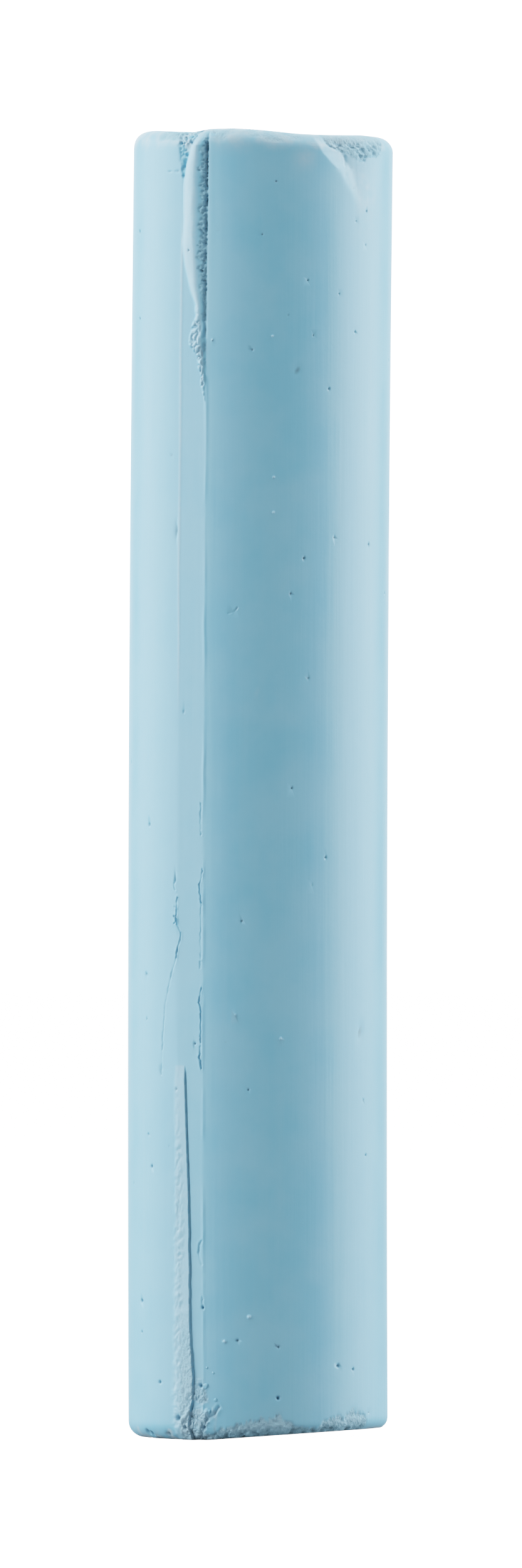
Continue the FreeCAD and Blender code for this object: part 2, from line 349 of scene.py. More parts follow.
for vertex, angle, height, outward in patch(LAND_OUTER - 3, LAND_OUTER + 1, 52, LENGTH):
    edge = LAND_OUTER + 0.3 * waver(7, height, 5)
    ridge = swell(round_mm(angle - edge), RIDGE_WIDTH) * between(height, 54, 62, 91, 95)
    vertex.co += outward * RIDGE_HEIGHT * ridge
    # Painted highlight: the ridge is paled along its crest.
    mark(vertex, dust_and_painted_light, 0.5 * ridge)


def raise_bead(seam, size, top):
    """Raises the fine torn bead along a seam up to a height, stronger and weaker in turn."""
    for vertex, angle, height, outward in skin:
        turn = (angle - seam + 180) % 360 - 180
        if abs(turn) < 2.5:
            strength = 0.4 + 0.9 * waver(seam, height, 6) + 0.5 * waver(seam, height, 0.9, 9)
            wander = 0.35 * waver(seam, height, 2.2, 4)
            ends = between(height, 0.3, 1.5, top - 1.2, top)
            vertex.co += outward * max(strength, 0.0) * size * ends * swell(turn - wander, BEAD_WIDTH)


raise_bead(LAND_INNER + 0.3, 0.055, 82)
raise_bead(LAND_INNER + 180, 0.12, LENGTH - 0.3)


# ---------------------------------------------------------------------------------- the upper fin
# Chalk squeezed into the seam's upper end made a thick fin of flash. It has a smooth flank to the left. Its
# right one is the torn face, full of pits, and it ends in a crevice at the seam. Its lower end is flaky.

upper_left = [  # height and angle
    (79.3, -26.2), (82.0, -27.6), (83.0, -30.2), (84.0, -33.4), (85.0, -33.4), (86.2, -31.0), (87.0, -31.0),
    (88.0, -33.4), (90.2, -36.8), (91.7, -37.7), (96.4, -38.0), (97.9, -36.6), (99.2, -34.0), (100.2, -30.5),
]
upper_crest = [
    (79.3, -25.5), (83.0, -26.6), (85.0, -28.2), (87.0, -28.6), (88.5, -30.6), (91.7, -31.6), (97.9, -31.3),
    (99.2, -30.0), (100.2, -28.4),
]
upper_rise = [  # height and thickness
    (79.0, 0.0), (80.0, 0.06), (82.0, 0.16), (86.5, 0.28), (91.7, 0.4), (97.0, 0.44), (99.2, 0.4),
    (100.3, 0.2),
]
CREVICE_DEPTH = 0.2
CREVICE_WIDTH = 0.09


def pitting(point, size):
    """Small hollows of about a size: 1 in their middles, and 0 between them."""
    nearest = noise.voronoi(Vector(point) / size)[0][0]
    return max(0.0, 1 - nearest * 2.2)


def lumps(point, size):
    """Packed lumps of about a size: 1 on their tops, and below 0 in the cracks between them."""
    bent = Vector([grit(point + Vector((0, 0, far)), size * 1.25) for far in (20, 40, 60)])
    first, second = noise.voronoi(point / size + 0.9 * bent)[0][:2]
    return min((second - first) * 3.0, 1.0) - max(0.0, 1 - (second - first) * 10)


for vertex, angle, height, outward in patch(-41, -23, 78.8, LENGTH + 1):
    flaky = fade(height, 87.6, 84.8)
    side_on = (1 - max(outward.z, 0)) ** 1.5
    rise = follow(upper_rise, height) * (1 + 1.1 * flaky * waver(4, height, 0.9)) * side_on
    thick = fade(rise, 0.02, 0.12)
    left = follow(upper_left, height) + 0.5 * waver(1, height, 1.6)
    left += 2.2 * flaky * waver(1, height, 0.7, 5)
    crest = follow(upper_crest, height) + 0.3 * waver(2, height, 1.2)
    right = LAND_INNER + 0.35 * waver(3, height, 0.8)
    if left < angle <= crest:
        share = (angle - left) / (crest - left)
        waves = 0.05 * grit((vertex.co.x, vertex.co.y, height * 0.4), 0.7) * fade(share, 0, 0.3)
        vertex.co += outward * rise * (1 - (1 - share) ** 1.6 + waves)
        flakes = lumps(vertex.co, 0.7) * fade(rise, 0.01, 0.1) * fade(share, 0, 0.2)
        vertex.co += outward * 0.12 * flaky * flakes
        # Painted highlight: the fin's left flank, which faces the left light, is paled.
        mark(vertex, dust_and_painted_light, 0.42 * fade(share, 0.0, 0.35) * thick)
    elif crest < angle < right:
        share = (angle - crest) / (right - crest)
        edge = 0.52 + 0.35 * waver(8, height, 0.45)
        torn = fade(share, edge - 0.12, edge + 0.08) * fade(rise, 0.03, 0.2) * (1 - 0.6 * flaky)
        pits = 0.22 * pitting(vertex.co, 0.38) + 0.2 * pitting(vertex.co, 0.24)
        hollows = pits + 0.07 * grit(vertex.co, 0.16)
        vertex.co += outward * (rise * (1 - share ** 1.5) - hollows * torn)
        mark(vertex, broken, 0.6 * torn)
        mark(vertex, fresh, 0.5 * torn)
        # Painted shade in the torn face's pits.
        mark(vertex, painted_shade, torn * (hollows * 4.0 - 0.25))
        # Painted highlight: the torn face is paled next to the crest.
        mark(vertex, dust_and_painted_light, 0.5 * fade(share, 0.5, 0.0) * thick)
    crevice = swell(round_mm(angle - right + 0.6), CREVICE_WIDTH) * fade(height, 82.5, 86) * side_on
    strength = 0.6 + 0.9 * waver(5, height, 0.7) + 0.5 * fade(height, 95, 97)
    vertex.co -= outward * crevice * CREVICE_DEPTH * max(strength, 0.15)
    # Painted shade in the crevice.
    mark(vertex, painted_shade, crevice * strength * fade(LENGTH - height, 0.4, 1.2))

# The torn notch between the fin and the land's outer edge: fresh chalk, with none of the mould's skin on it.
notch_left = [(95.8, -37.6), (97.2, -38.9), (98.0, -39.6), (99.4, -40.4), (100.2, -42.5), (100.6, -43.5)]

for vertex, angle, height, outward in patch(-46, -29, 95.7, LENGTH + 1):
    left = follow(notch_left, height) + 1.5 * waver(6, height, 0.5)
    right = follow(upper_left, height)
    inside = between(angle, left, left + 0.8, right - 0.4, right + 1.0) * fade(height, 95.8, 96.8)
    if inside > 0:
        pits = 0.06 + 0.26 * pitting(vertex.co, 0.46) + 0.16 * pitting(vertex.co, 0.26)
        hollows = pits + 0.08 * grit(vertex.co, 0.2)
        vertex.co -= outward * inside * hollows
        mark(vertex, fresh, inside)
        # Painted shade in the notch's pits.
        mark(vertex, painted_shade, inside * (hollows - 0.14) * 2.6)
        vertex[dust_and_painted_light] *= 1 - inside


# ---------------------------------------------------------------------------------- the lower fin
# A thinner fin at the seam's lower end, folded over to the right, so it has a rough slope on the left and an
# undercut crevice on the right. At the foot it and the chalk beside it have crumbled into lumps.

FIN_TOP = 28.6
FOLD_WIDTH = 0.8
UNDERCUT_WIDTH = 0.045

lower_left = [(0.0, -40.6), (3.8, -41.6), (9.0, -40.2), (20.0, -39.8), (FIN_TOP, -39.8)]
lower_rise = [(0.0, 0.18), (3.0, 0.22), (9.0, 0.19), (14.0, 0.15), (20.0, 0.12), (27.6, 0.1), (FIN_TOP, 0.02)]
undercut = [(0.0, 0.5), (4.0, 0.4), (9.0, 0.4), (14.0, 0.75), (20.0, 0.9)]

for vertex, angle, height, outward in patch(-44, -26, -1, FIN_TOP + 0.1):
    left = follow(lower_left, height) + 0.4 * waver(11, height, 2.0)
    crest = follow(lower_crest, height) + 0.3 * waver(12, height, 0.9) * fade(height, 24, 14)
    rise = follow(lower_rise, height)
    crumbling = fade(height, 12, 4)
    wrinkled = 0.2 + 0.8 * fade(height, 28, 20)
    if left < angle <= crest:
        share = (angle - left) / (crest - left)
        squashed = Vector((vertex.co.x, vertex.co.y, height * 0.8))
        beaded = swell(share - 0.36, 0.32) * wrinkled
        crumbled = crumbling * fade(share, 0.35, 0.6)
        rough = (0.035 * lumps(squashed, 0.48) + 0.04 * grit(squashed, 0.35)) * beaded
        blocks = (0.04 * lumps(vertex.co, 0.6) + 0.07 * grit(vertex.co, 0.4)) * crumbled
        vertex.co += outward * (rise * share ** 0.9 + rough + blocks)
        # Painted highlight: the fin's left slope, which faces the left light, is paled.
        mark(vertex, dust_and_painted_light, 0.32 * fade(share, 0.0, 0.2))
        mark(vertex, broken, crumbling * fade(share, 0.3, 0.6))
        # Painted shade in the gaps between the fin's lumps.
        mark(vertex, painted_shade, 0.3 * max(0.0, -lumps(vertex.co, 0.6)) * crumbled)
        mark(vertex, painted_shade, 0.3 * max(0.0, -lumps(squashed, 0.48)) * beaded)
    elif crest < angle < crest + FOLD_WIDTH:
        share = (angle - crest) / FOLD_WIDTH
        vertex.co += outward * rise * max(0.0, 1 - share * 2.5)
        # Painted shade on the fold's wall, which faces away from the light.
        mark(vertex, painted_shade, 0.3 * (1 - share))
    crevice = swell(round_mm(angle - crest - 0.45), UNDERCUT_WIDTH) * fade(FIN_TOP - height, 0, 0.5)
    crevice *= max(follow(undercut, height) + 0.9 * waver(14, height, 0.7) * crumbling, 0.1)
    vertex.co -= outward * crevice * (0.1 + 0.06 * waver(13, height, 0.8))
    # Painted shade in the undercut crevice.
    mark(vertex, painted_shade, 0.9 * crevice)

crumbled_left = [(0.0, -37.0), (1.6, -36.0), (2.6, -32.0), (6.0, -30.5)]
crumbled_right = [(0.0, -20.0), (2.0, -18.5), (3.2, -23.0), (6.0, -24.5)]

for vertex, angle, height, outward in patch(-40, -14, -1, 6.2):
    left = follow(crumbled_left, height)
    right = follow(crumbled_right, height)
    inside = between(angle, left - 0.8, left + 1.2, right - 1, right + 1) * fade(height, 5.6, 2.4)
    patchy = inside * fade(grit(vertex.co + Vector((3, 0, 0)), 1.1) + 0.3, 0.0, 0.3)
    if patchy > 0:
        packed = lumps(vertex.co, 0.5)
        uneven = 0.12 * grit(vertex.co, 0.4) + 0.04 * grit(vertex.co, 0.2)
        vertex.co += outward * patchy * (0.06 * packed + uneven)
        mark(vertex, dust_and_painted_light, 0.5 * patchy)
        mark(vertex, broken, 0.6 * patchy)
        # Painted shade between the crumbled lumps.
        mark(vertex, painted_shade, patchy * (0.4 * max(0.0, -packed) + 0.9 * max(0.0, -grit(vertex.co, 0.4))))


# ---------------------------------------------------------------------------------- the broken rims
# A flake has come off the top rim at the right: a clean slope down from its left edge, then torn chalk that
# rises back to the side. The foot's rim has crumbled all along the part that was worn down in use.

chip_left = [  # height and angle of the flake's left edge
    (95.2, 44.5), (95.7, 42.7), (96.4, 39.4), (97.3, 36.2), (98.0, 31.3), (98.8, 27.1), (100.3, 23.0),
]
chip_depth = [(94.8, 0.0), (96.4, 0.14), (98.0, 0.34), (99.3, 0.46), (100.3, 0.5)]
chip_slope = [(95.2, 4.0), (98.0, 10.0), (100.3, 14.0)]
chip_back = [(95.2, 8.0), (98.0, 22.0), (100.3, 32.0)]
torn_below = [  # angle, and the height that the torn chalk reaches down to
    (26, 100.3), (31, 99.5), (35.5, 98.9), (41.4, 98.7), (46.6, 98.2), (50.8, 97.7), (53.8, 98.5),
    (59.7, 98.3), (63, 98.7), (69, 99.7),
]
torn_lines = [  # path as angles and heights, depth
    ([(28.9, 100.1), (32.2, 99.5), (36.2, 99.2), (39.0, 99.0)], 0.1),
    ([(43.0, 99.8), (46.4, 99.1), (49.4, 98.6), (51.6, 98.2)], 0.2),
    ([(46.0, 99.9), (50.0, 99.2)], 0.12),
    ([(53.5, 99.4), (56.0, 99.1), (58.6, 98.7)], 0.18),
    ([(56.5, 99.9), (60.5, 99.1)], 0.14),
    ([(62.5, 100.0), (64.8, 99.5)], 0.14),
    ([(34.0, 100.0), (38.5, 99.7), (41.5, 99.3)], 0.1),
    ([(40.2, 98.5), (40.6, 98.1), (40.2, 97.8)], 0.08),
    ([(39.9, 97.4), (39.7, 97.0)], 0.05),
]
TORN_LINE_WIDTH = 0.11
RIM_MM = 0.17


def rim_waver(which, angle, size):
    """Unevenness along a rim, from -1 to 1. Each number gives another one."""
    return grit((angle * RIM_MM, which, 0), size)


for vertex, angle, height, outward in patch(20, 80, 94.8, LENGTH + 1):
    left = follow(chip_left, height)
    floor = left + follow(chip_slope, height)
    right = floor + follow(chip_back, height)
    if left < angle < right:
        if angle < floor:
            share = (angle - left) / (floor - left)
            sunk = share * (1.35 - 0.35 * share)
        else:
            sunk = (1 - (angle - floor) / (right - floor)) ** 1.6
        inner = fade(1 - outward.z, 0.0, 0.45)
        lowest = follow(torn_below, angle) + 0.25 * rim_waver(3, angle, 0.4)
        torn = fade(height, lowest - 0.1, lowest + 0.35) * fade(angle, 70, 66)
        upward = height + RADIUS - math.hypot(vertex.co.x, vertex.co.y)
        rightward = round_mm(angle)
        slanted = Vector((1.2 * (rightward + upward * 0.7), 0.8 * (upward - rightward * 0.7), 4))
        hollows = 0.24 * pitting(slanted, 0.75) + 0.09 * pitting(vertex.co, 0.32)
        hollows += 0.07 * grit(vertex.co, 0.25)
        hollows *= 1 - 0.75 * fade(outward.z, 0.45, 0.85)
        lines = max(
            size * swell(gap_to_path(angle, height, path), TORN_LINE_WIDTH) for path, size in torn_lines
        )
        ragged_lines = lines * (0.7 + 0.9 * grit(vertex.co, 0.3))
        vertex.co -= outward * inner * (follow(chip_depth, height) * sunk + hollows * torn + ragged_lines)
        mark(vertex, broken, 0.9 * max(torn, lines * 4))
        # Painted shade in the chip's hollows and torn lines.
        mark(vertex, painted_shade, inner * ((hollows - 0.12) * 2.0 * torn + ragged_lines * 3.0))
        # Painted light: the chip's slope and its upward-facing torn chalk are paled.
        mark(vertex, dust_and_painted_light, 0.35 * sunk + 0.35 * torn * fade(outward.z, 0.2, 0.7))

rim_band = [  # angle, and how far up the crumbling goes
    (-26, 0.25), (-18, 0.7), (-8, 1.1), (4, 1.35), (9, 1.5), (13, 1.15), (19, 0.5), (27, 0.45), (31, 0.85),
    (37, 1.25), (42, 1.1), (46, 1.65), (50, 1.5), (55, 1.1), (58, 0.1),
]
rim_blots = [  # angle and depth of the deepest gaps
    (-8, 0.34), (-1, 0.3), (4.5, 0.34), (14.5, 0.4), (21, 0.16), (26, 0.2), (31.5, 0.46), (35.5, 0.42),
    (46, 0.36), (49.5, 0.48), (53.5, 0.4),
]
BLOT_WIDTH = 0.32
WEAR_TO_RIGHT = 0.0686
WEAR_TO_FRONT = 0.033


def wear_height(point):
    """Height over a point of the foot's worn slope, which rises to the right and a little to the front."""
    return max(0.0, point.x * WEAR_TO_RIGHT - point.y * WEAR_TO_FRONT)


for vertex, angle, height, outward in patch(-30, 62, -1, 3.2):
    above = height - wear_height(vertex.co)
    ragged = follow(rim_band, angle) + 0.3 * rim_waver(0, angle, 0.45) + 0.3 * rim_waver(5, angle, 0.16)
    inside = between(angle, -27, -22, 56, 58.5) * fade(above, ragged + 0.08, ragged - 0.2)
    if inside > 0:
        low_down = fade(above, 0.75, 0.1)
        blot = max(
            size * swell(round_mm(angle - where + 1.5 * waver(0, height + where, 0.5)), BLOT_WIDTH)
            for where, size in rim_blots
        )
        blot *= (0.35 + 0.65 * low_down) * (0.8 + 0.8 * grit(vertex.co, 0.35))
        clumps = 0.17 * fade(grit(vertex.co + Vector((0, 0, 7)), 0.42), 0.0, 0.5)
        gaps = 0.4 * max(blot, 0.0) + clumps * (0.35 + 0.65 * low_down)
        hollows = 0.03 + 0.12 * pitting(vertex.co, 0.34) + 0.05 * grit(vertex.co, 0.14) + gaps
        vertex.co -= outward * inside * hollows
        mark(vertex, broken, 0.7 * inside)
        mark(vertex, dust_and_painted_light, inside * (0.35 - 0.3 * low_down))
        # Darker blotches low on the rim, added to the painted shade.
        low_blotches = low_down * fade(grit(vertex.co + Vector((0, 0, 3)), 0.9), -0.2, 0.4)
        # Painted shade in the rim's gaps and hollows.
        mark(vertex, painted_shade, inside * (1.9 * gaps + 1.2 * (hollows - 0.08) * low_down + 0.3 * low_blotches))

# The left of the foot's rim has only begun to crumble, and shows powdery edges.
for vertex, angle, height, outward in patch(-82, -38, -1, 1.6):
    ragged = 0.8 + 0.7 * rim_waver(2, angle, 0.8)
    inside = between(angle, -80, -70, -44, -39) * fade(height, ragged, ragged - 0.3)
    inside *= fade(grit(vertex.co, 0.9), -0.3, 0.1)
    hollows = 0.14 * pitting(vertex.co, 0.45) + 0.05 * grit(vertex.co, 0.3)
    vertex.co -= outward * inside * (0.02 + hollows)
    mark(vertex, dust_and_painted_light, 0.95 * inside)
    # Painted shade in the rim's pits.
    mark(vertex, painted_shade, inside * (hollows - 0.06) * 4)

# The top rim is chafed, and the powder that was rubbed off it lies in pale smears.
for vertex, angle, height, outward in patch(-85, 70, 90, LENGTH + 1):
    lower_edge = 99.4 + 0.7 * rim_waver(8, angle, 1.3)
    powder = fade(height, lower_edge - 0.5, lower_edge + 0.3) * (0.5 + 0.7 * grit(vertex.co, 0.7))
    rim_smear = swell(angle + 12, 8) * swell(height - 99.9, 0.9) * (0.8 + 0.6 * grit(vertex.co, 0.8))
    front_smear = swell(angle - 19, 5) * swell(height - 98.3, 0.9)
    chip_smear = swell(angle - 52, 7) * swell(height - 95.6, 2.4) * (0.5 + grit(vertex.co, 0.6))
    mark(vertex, dust_and_painted_light, max(powder, rim_smear, 0.45 * front_smear, 0.4 * chip_smear))
    scuffed = between(angle, -58, -52, -41, -38) * fade(height, lower_edge, 100.0)
    chafed = between(angle, -27, -24, 14, 24) * fade(height, lower_edge + 0.1, lower_edge + 0.5)
    chafed *= fade(grit(vertex.co, 1.1), -0.25, 0.15)
    rubbed = max(scuffed, 0.6 * chafed)
    hollows = 0.12 * pitting(vertex.co, 0.4) + 0.06 * grit(vertex.co, 0.3)
    vertex.co -= outward * rubbed * (0.05 + hollows)
    mark(vertex, broken, rubbed)
    # Painted shade in the rubbed rim's hollows.
    mark(vertex, painted_shade, rubbed * (0.15 + (hollows - 0.05) * 4))
    vertex[dust_and_painted_light] *= 1 - 0.7 * scuffed


# ---------------------------------------------------------------------------------- pores, pips and cracks
# The marks whose places are set out above, pushed into the skin or raised on it. A crack's lips stand a
# little proud.

PORE_DEPTH = 0.75
PIP_HEIGHT = 0.5

for turn, up, width in pores:
    for vertex, angle, height, outward in patch(-181, 181, up - width, up + width):
        near = gap(angle, height, turn, up) / (width / 2)
        if near < 1.3:
            hollow = swell(near * 1.7, 1)
            vertex.co -= outward * PORE_DEPTH * width * hollow
            # Painted shade in the pore.
            mark(vertex, painted_shade, hollow)

for turn, up, width in pips:
    for vertex, angle, height, outward in patch(turn - 5, turn + 5, up - width, up + width):
        near = gap(angle, height, turn, up) / (width / 2)
        vertex.co += outward * PIP_HEIGHT * width * swell(near * 1.5, 1)
        # Painted highlight: each pip's top is paled.
        mark(vertex, dust_and_painted_light, 0.45 * swell(near * 1.6, 1))

for path, depth, half_width in cracks:
    angles = [point[0] for point in path]
    heights = [point[1] for point in path]
    beside = patch(min(angles) - 2, max(angles) + 2, min(heights) - 0.3, max(heights) + 0.3)
    for vertex, angle, height, outward in beside:
        jagged = angle + 0.4 * grit((height, depth, angle * 0.1), 0.25) + 0.25 * grit((height, 7, depth), 0.1)
        near = gap_to_path(jagged, height, path) / half_width
        strength = min(max(0.15, 0.8 + 1.2 * grit((height, 3, angle * RIM_MM), 0.6)), 1.2)
        lip = 0.3 * swell(near - 2.4, 1.1)
        vertex.co -= outward * depth * strength * (swell(near, 1) - lip)
        # Painted shade in the crack.
        mark(vertex, painted_shade, swell(near, 1) * strength * min(depth * 5, 0.6))


# ---------------------------------------------------------------------------------- the ends
# The top was the mould's open end, so its face slants a little and dips and swells towards the front. The
# foot was cast against the mould's floor, and has been worn to a slope at the front right. The stick dried
# with a bend: straight up from the foot to the middle, then leaning to the right.

rim_waves = [  # angle and height
    (-180, 0.0), (-70, 0.03), (-48, -0.1), (-38, -0.15), (-28, 0.1), (-15, 0.15), (0, 0.05), (14, -0.09),
    (27, -0.14), (40, -0.12), (60, 0.0), (180, 0.0),
]
END_REACH = 2.5
WORN_CORNER = 0.4
CORNER_REACH = 0.9
LEAN = -0.0042
BEND = 0.000084

for vertex in stick.verts:
    radius = math.hypot(vertex.co.x, vertex.co.y)
    angle, height = place_of(vertex.co)
    if height > LENGTH - END_REACH:
        rim = fade(height, LENGTH - END_REACH, LENGTH - 0.4)
        wave = follow(rim_waves, angle) * fade(radius, 3, 9)
        grain = 0.0
        if radius < RADIUS - RIM_ROUND:
            grain = 0.05 * grit(vertex.co, 2.5) + 0.02 * grit(vertex.co, 0.9)
        vertex.co.z += rim * (wave - vertex.co.x * math.tan(TOP_SLANT) + grain)
    if height < 3:
        worn = wear_height(vertex.co)
        low_down = max(0.0, 1 - max(height - worn, 0.0) / CORNER_REACH) ** 2.5
        tuck = WORN_CORNER * fade(worn, 0.1, 0.6) * low_down * fade(radius, RADIUS - 1.5, RADIUS - 0.1)
        vertex.co.x *= 1 - tuck / RADIUS
        vertex.co.y *= 1 - tuck / RADIUS
        if height < worn:
            vertex.co.z = worn
            # Painted light: the worn slope's edge is paled as if lit by the floor below.
            mark(vertex, dust_and_painted_light, 0.8)

for vertex in stick.verts:
    height = vertex.co.z
    vertex.co.x += LEAN * height + BEND * height ** 2


def finished(shape, name):
    """Makes a piece of a shape that is in millimetres, with smooth faces that look outwards."""
    bmesh.ops.recalc_face_normals(shape, faces=shape.faces)
    bmesh.ops.scale(shape, vec=(1 / METRE, 1 / METRE, 1 / METRE), verts=shape.verts)
    for face in shape.faces:
        face.smooth = True
    mesh = bpy.data.meshes.new(name)
    shape.to_mesh(mesh)
    shape.free()
    piece = bpy.data.objects.new(name, mesh)
    bpy.context.scene.collection.objects.link(piece)
    return piece


casting = finished(stick, "chalk_casting")


# ---------------------------------------------------------------------------------- the chalk
# Dyed plaster, dense and faintly shiny where the mould pressed it, with a powdery bloom. It is mottled where
# the dye didn't mix and streaked along its length, and darker and dull where it is broken. Painted shade
# darkens its pores, cracks, crevices, pits and gaps, and its pale powder is in places painted highlight and
# painted bounce light.

THIN_DYE = (0.185, 0.485, 0.71)
THICK_DYE = (0.145, 0.45, 0.69, 1)
STREAK = (0.18, 0.48, 0.7, 1)
FRESH_BREAK = (0.1, 0.4, 0.62, 1)
OLD_BREAK = (0.22, 0.465, 0.635, 1)
# Pale powder. On the fins' lit flanks, the ridge, the pips, the chip and the worn foot it is painted
# highlight and painted bounce light.
POWDER_AND_PAINTED_LIGHT = (0.36, 0.57, 0.71, 1)
# Painted shade: the near-black blue put into pores, cracks, crevices, pits and gaps.
PAINTED_SHADE_COLOUR = (0.05, 0.12, 0.17, 1)
SKIN_RELIEF = 0.00003
BREAK_RELIEF = 0.0001
MIX_BASE, MIX_TOP, MIX_RESULT = 6, 7, 2


def chalk(name, bloom):
    """The chalk's material. Bloom is how pale the powder on its skin makes it."""
    material = bpy.data.materials.new(name)
    material.use_nodes = True
    nodes = material.node_tree.nodes
    links = material.node_tree.links
    surface = nodes["Principled BSDF"]
    place = nodes.new("ShaderNodeTexCoord")

    def in_mm(stretch):
        """The place in millimetres, drawn out along the stick by a stretch."""
        mapping = nodes.new("ShaderNodeMapping")
        mapping.inputs["Scale"].default_value = (METRE, METRE, METRE / stretch)
        links.new(place.outputs["Object"], mapping.inputs["Vector"])
        return mapping.outputs["Vector"]

    def pattern(where, scale, detail):
        texture = nodes.new("ShaderNodeTexNoise")
        texture.inputs["Scale"].default_value = scale
        texture.inputs["Detail"].default_value = detail
        links.new(where, texture.inputs["Vector"])
        return texture.outputs["Fac"]

    def layer(layer_name):
        attribute = nodes.new("ShaderNodeAttribute")
        attribute.attribute_name = layer_name
        return attribute.outputs["Fac"]

    def amount(value, low, high, least, most):
        span = nodes.new("ShaderNodeMapRange")
        span.inputs["From Min"].default_value = low
        span.inputs["From Max"].default_value = high
        span.inputs["To Min"].default_value = least
        span.inputs["To Max"].default_value = most
        links.new(value, span.inputs["Value"])
        return span.outputs["Result"]

    def combined(operation, first, second):
        node = nodes.new("ShaderNodeMath")
        node.operation = operation
        links.new(first, node.inputs[0])
        links.new(second, node.inputs[1])
        return node.outputs["Value"]

    def blend_in(base, top, factor):
        mix = nodes.new("ShaderNodeMix")
        mix.data_type = "RGBA"
        links.new(factor, mix.inputs["Factor"])
        if isinstance(base, tuple):
            mix.inputs[MIX_BASE].default_value = base
        else:
            links.new(base, mix.inputs[MIX_BASE])
        mix.inputs[MIX_TOP].default_value = top
        return mix.outputs[MIX_RESULT]

    def relief(height, depth, below=None):
        bump = nodes.new("ShaderNodeBump")
        bump.inputs["Distance"].default_value = depth
        links.new(height, bump.inputs["Height"])
        if below:
            links.new(below.outputs["Normal"], bump.inputs["Normal"])
        return bump

    evenly = in_mm(1)
    mottle = pattern(evenly, 0.2, 4)
    streaks = pattern(in_mm(22), 1.1, 2)
    fine = pattern(evenly, 3.2, 4)
    breaks = layer("broken")
    dust_and_painted_light_amount = combined("MULTIPLY", layer("dust_and_painted_light"), amount(fine, 0.3, 0.6, 0.7, 1.0))

    bloomed = tuple(part + bloom for part in THIN_DYE) + (1,)
    colour = blend_in(THICK_DYE, bloomed, amount(mottle, 0.38, 0.62, 0.1, 0.6))
    colour = blend_in(colour, STREAK, amount(streaks, 0.45, 0.7, 0.0, 0.35))
    colour = blend_in(colour, FRESH_BREAK, amount(layer("fresh"), 0.0, 1.0, 0.0, 0.9))
    colour = blend_in(colour, OLD_BREAK, amount(breaks, 0.0, 1.0, 0.0, 1.0))
    # Pale powder, which in places is painted highlight and painted bounce light.
    colour = blend_in(colour, POWDER_AND_PAINTED_LIGHT, dust_and_painted_light_amount)
    # Painted shade: pores, cracks, crevices, pits and gaps are darkened towards a near-black blue.
    colour = blend_in(colour, PAINTED_SHADE_COLOUR, amount(layer("painted_shade"), 0.1, 1.0, 0.0, 0.8))
    links.new(colour, surface.inputs["Base Color"])

    pressed = amount(mottle, 0.35, 0.65, 0.38, 0.46)
    dullness = combined("MAXIMUM", pressed, amount(breaks, 0.0, 0.5, 0.0, 0.85))
    links.new(dullness, surface.inputs["Roughness"])

    drawn = relief(pattern(in_mm(30), 2.2, 3), SKIN_RELIEF)
    drawn.inputs["Strength"].default_value = 0.5
    skin_grain = relief(fine, SKIN_RELIEF, drawn)
    skin_grain.inputs["Strength"].default_value = 0.12
    break_grain = relief(pattern(evenly, 6.0, 5), BREAK_RELIEF, skin_grain)
    links.new(amount(breaks, 0.1, 0.6, 0.0, 0.8), break_grain.inputs["Strength"])
    links.new(break_grain.outputs["Normal"], surface.inputs["Normal"])
    return material


casting.data.materials.append(chalk("moulded_chalk", 0.02))
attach(casting, "root")
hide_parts("chalk_stick")


# ---------------------------------------------------------------------------------- the crumbs
# Grains of the same chalk that broke off the lower fin and cling beside it. Each is an angular lump, a hull
# round scattered corners, sunk a little into the side.

crumbs = bmesh.new()
grains = [  # angle, height, size
    (-23.6, 4.2, 0.6), (-22.2, 2.2, 0.55), (-20.0, 5.2, 0.3), (-18.9, 3.1, 0.4), (-23.0, 5.6, 0.32),
]
CORNERS = 18
SUNK = 0.02

for angle, height, size in grains:
    grain = bmesh.new()
    for _ in range(CORNERS):
        corner = Vector((dice.gauss(0, 1), dice.gauss(0, 1), dice.gauss(0, 1))).normalized()
        grain.verts.new(corner * dice.uniform(0.36, 0.5))
    bmesh.ops.convex_hull(grain, input=grain.verts)
    loose = [vertex for vertex in grain.verts if not vertex.link_faces]
    bmesh.ops.delete(grain, geom=loose, context="VERTS")
    bmesh.ops.subdivide_edges(grain, edges=grain.edges, cuts=3, smooth=0.35, use_grid_fill=True)
    for vertex in grain.verts:
        vertex.co *= 1 + 0.14 * grit(vertex.co + Vector((angle, height, 0)), 0.16)
        vertex.co = Vector((vertex.co.x * 0.85, vertex.co.y * 0.6, vertex.co.z)) * size
    turned = Matrix.Rotation(math.radians(angle), 3, "Z") @ Matrix.Rotation(dice.uniform(0, 3), 3, "Y")
    bmesh.ops.rotate(grain, verts=grain.verts, cent=(0, 0, 0), matrix=turned)
    side = Vector((math.sin(math.radians(angle)), -math.cos(math.radians(angle)), 0)) * (RADIUS - SUNK)
    bmesh.ops.translate(grain, verts=grain.verts, vec=side + Vector((LEAN * height, 0, height)))
    grain_mesh = bpy.data.meshes.new("grain")
    grain.to_mesh(grain_mesh)
    grain.free()
    crumbs.from_mesh(grain_mesh)
    bpy.data.meshes.remove(grain_mesh)

crumb_piece = finished(crumbs, "chalk_crumbs")
crumb_piece.data.materials.append(chalk("crumbled_chalk", 0.06))
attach(crumb_piece, "root")
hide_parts("clinging_crumbs")


# ---------------------------------------------------------------------------------- the studio
# A pale floor and a white surround, two tall soft lights at the sides, weaker ones behind and above, and a
# long lens level with the stick's middle. The picture is exposed for a white ground, through a tone curve
# with a soft shoulder.

CAMERA_DISTANCE = 1.4
FRAME_HEIGHT = 0.12092
FLOOR_REACH = 3
TONE_LIFT = 8.0

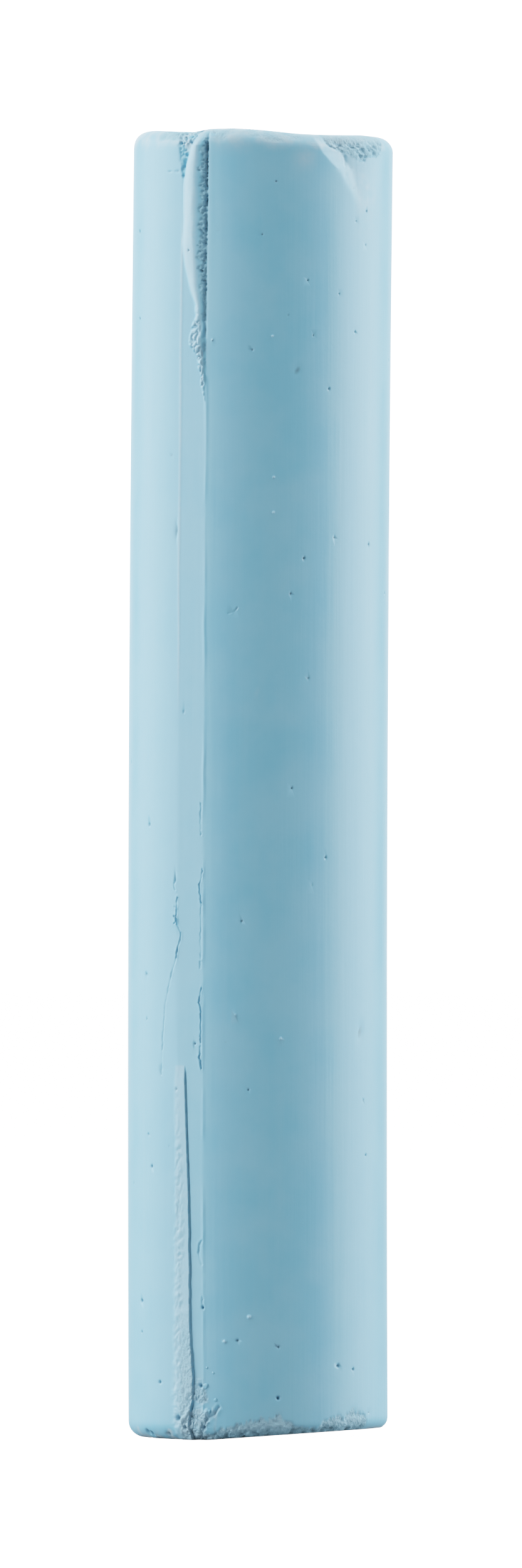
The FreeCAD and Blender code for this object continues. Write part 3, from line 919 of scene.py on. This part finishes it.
camera = bpy.data.cameras.new("camera")
camera.lens = camera.sensor_width * CAMERA_DISTANCE / FRAME_HEIGHT
camera_stand = bpy.data.objects.new("camera", camera)
camera_stand.location = (0.00022, -CAMERA_DISTANCE, 0.05031)
camera_stand.rotation_euler = (math.radians(90), 0, 0)
bpy.context.scene.collection.objects.link(camera_stand)
bpy.context.scene.camera = camera_stand


def soft_light(name, place, turn, length, breadth, radiance):
    """A soft light of a length and a breadth, turned by angles from facing straight down."""
    light = bpy.data.lights.new(name, "AREA")
    light.shape = "RECTANGLE"
    light.size = length
    light.size_y = breadth
    light.energy = radiance * 4 * length * breadth
    stand = bpy.data.objects.new(name, light)
    stand.location = place
    stand.rotation_euler = [math.radians(part) for part in turn]
    stand.visible_camera = False
    bpy.context.scene.collection.objects.link(stand)


soft_light("left_light", (-0.6, 0.03, 0.4), (0, -90, 0), 1.6, 1.06, 0.8)
soft_light("right_light", (0.6, 0.13, 0.4), (0, 90, 0), 1.6, 0.74, 0.93)
soft_light("back_light", (0, 0.8, 0.4), (-90, 0, 0), 0.9, 1.2, 0.38)
soft_light("top_light", (0, 0, 0.9), (0, 0, 0), 1.0, 1.0, 0.16)

floor_shape = bmesh.new()
bmesh.ops.create_grid(floor_shape, x_segments=1, y_segments=1, size=FLOOR_REACH)
floor_mesh = bpy.data.meshes.new("floor")
floor_shape.to_mesh(floor_mesh)
floor_shape.free()
floor = bpy.data.objects.new("floor", floor_mesh)
bpy.context.scene.collection.objects.link(floor)
paper = bpy.data.materials.new("white_paper")
paper.use_nodes = True
surface = paper.node_tree.nodes["Principled BSDF"]
surface.inputs["Base Color"].default_value = (0.25, 0.25, 0.25, 1)
surface.inputs["Roughness"].default_value = 1
surface.inputs["Specular IOR Level"].default_value = 0
surface.inputs["Emission Color"].default_value = (1, 1, 1, 1)
seen_floor = paper.node_tree.nodes.new("ShaderNodeLightPath")
paper.node_tree.links.new(seen_floor.outputs["Is Camera Ray"], surface.inputs["Emission Strength"])
floor_mesh.materials.append(paper)

world = bpy.data.worlds.new("surround")
world.use_nodes = True
bpy.context.scene.world = world
surround = world.node_tree
ray = surround.nodes.new("ShaderNodeLightPath")
seen = surround.nodes.new("ShaderNodeMix")
seen.data_type = "FLOAT"
seen.inputs["A"].default_value = 0.008
seen.inputs["B"].default_value = 1.3
surround.links.new(ray.outputs["Is Camera Ray"], seen.inputs["Factor"])
surround.links.new(seen.outputs["Result"], surround.nodes["Background"].inputs["Strength"])
surround.nodes["Background"].inputs["Color"].default_value = (1, 1, 1, 1)

tone = bpy.context.scene.view_settings
tone.view_transform = "Standard"
tone.use_curve_mapping = True
for light in (0.015, 0.04, 0.08, 0.15, 0.25, 0.4, 0.65):
    tone.curve_mapping.curves[3].points.new(light, light * (1 + TONE_LIFT) / (1 + TONE_LIFT * light))
tone.curve_mapping.update()
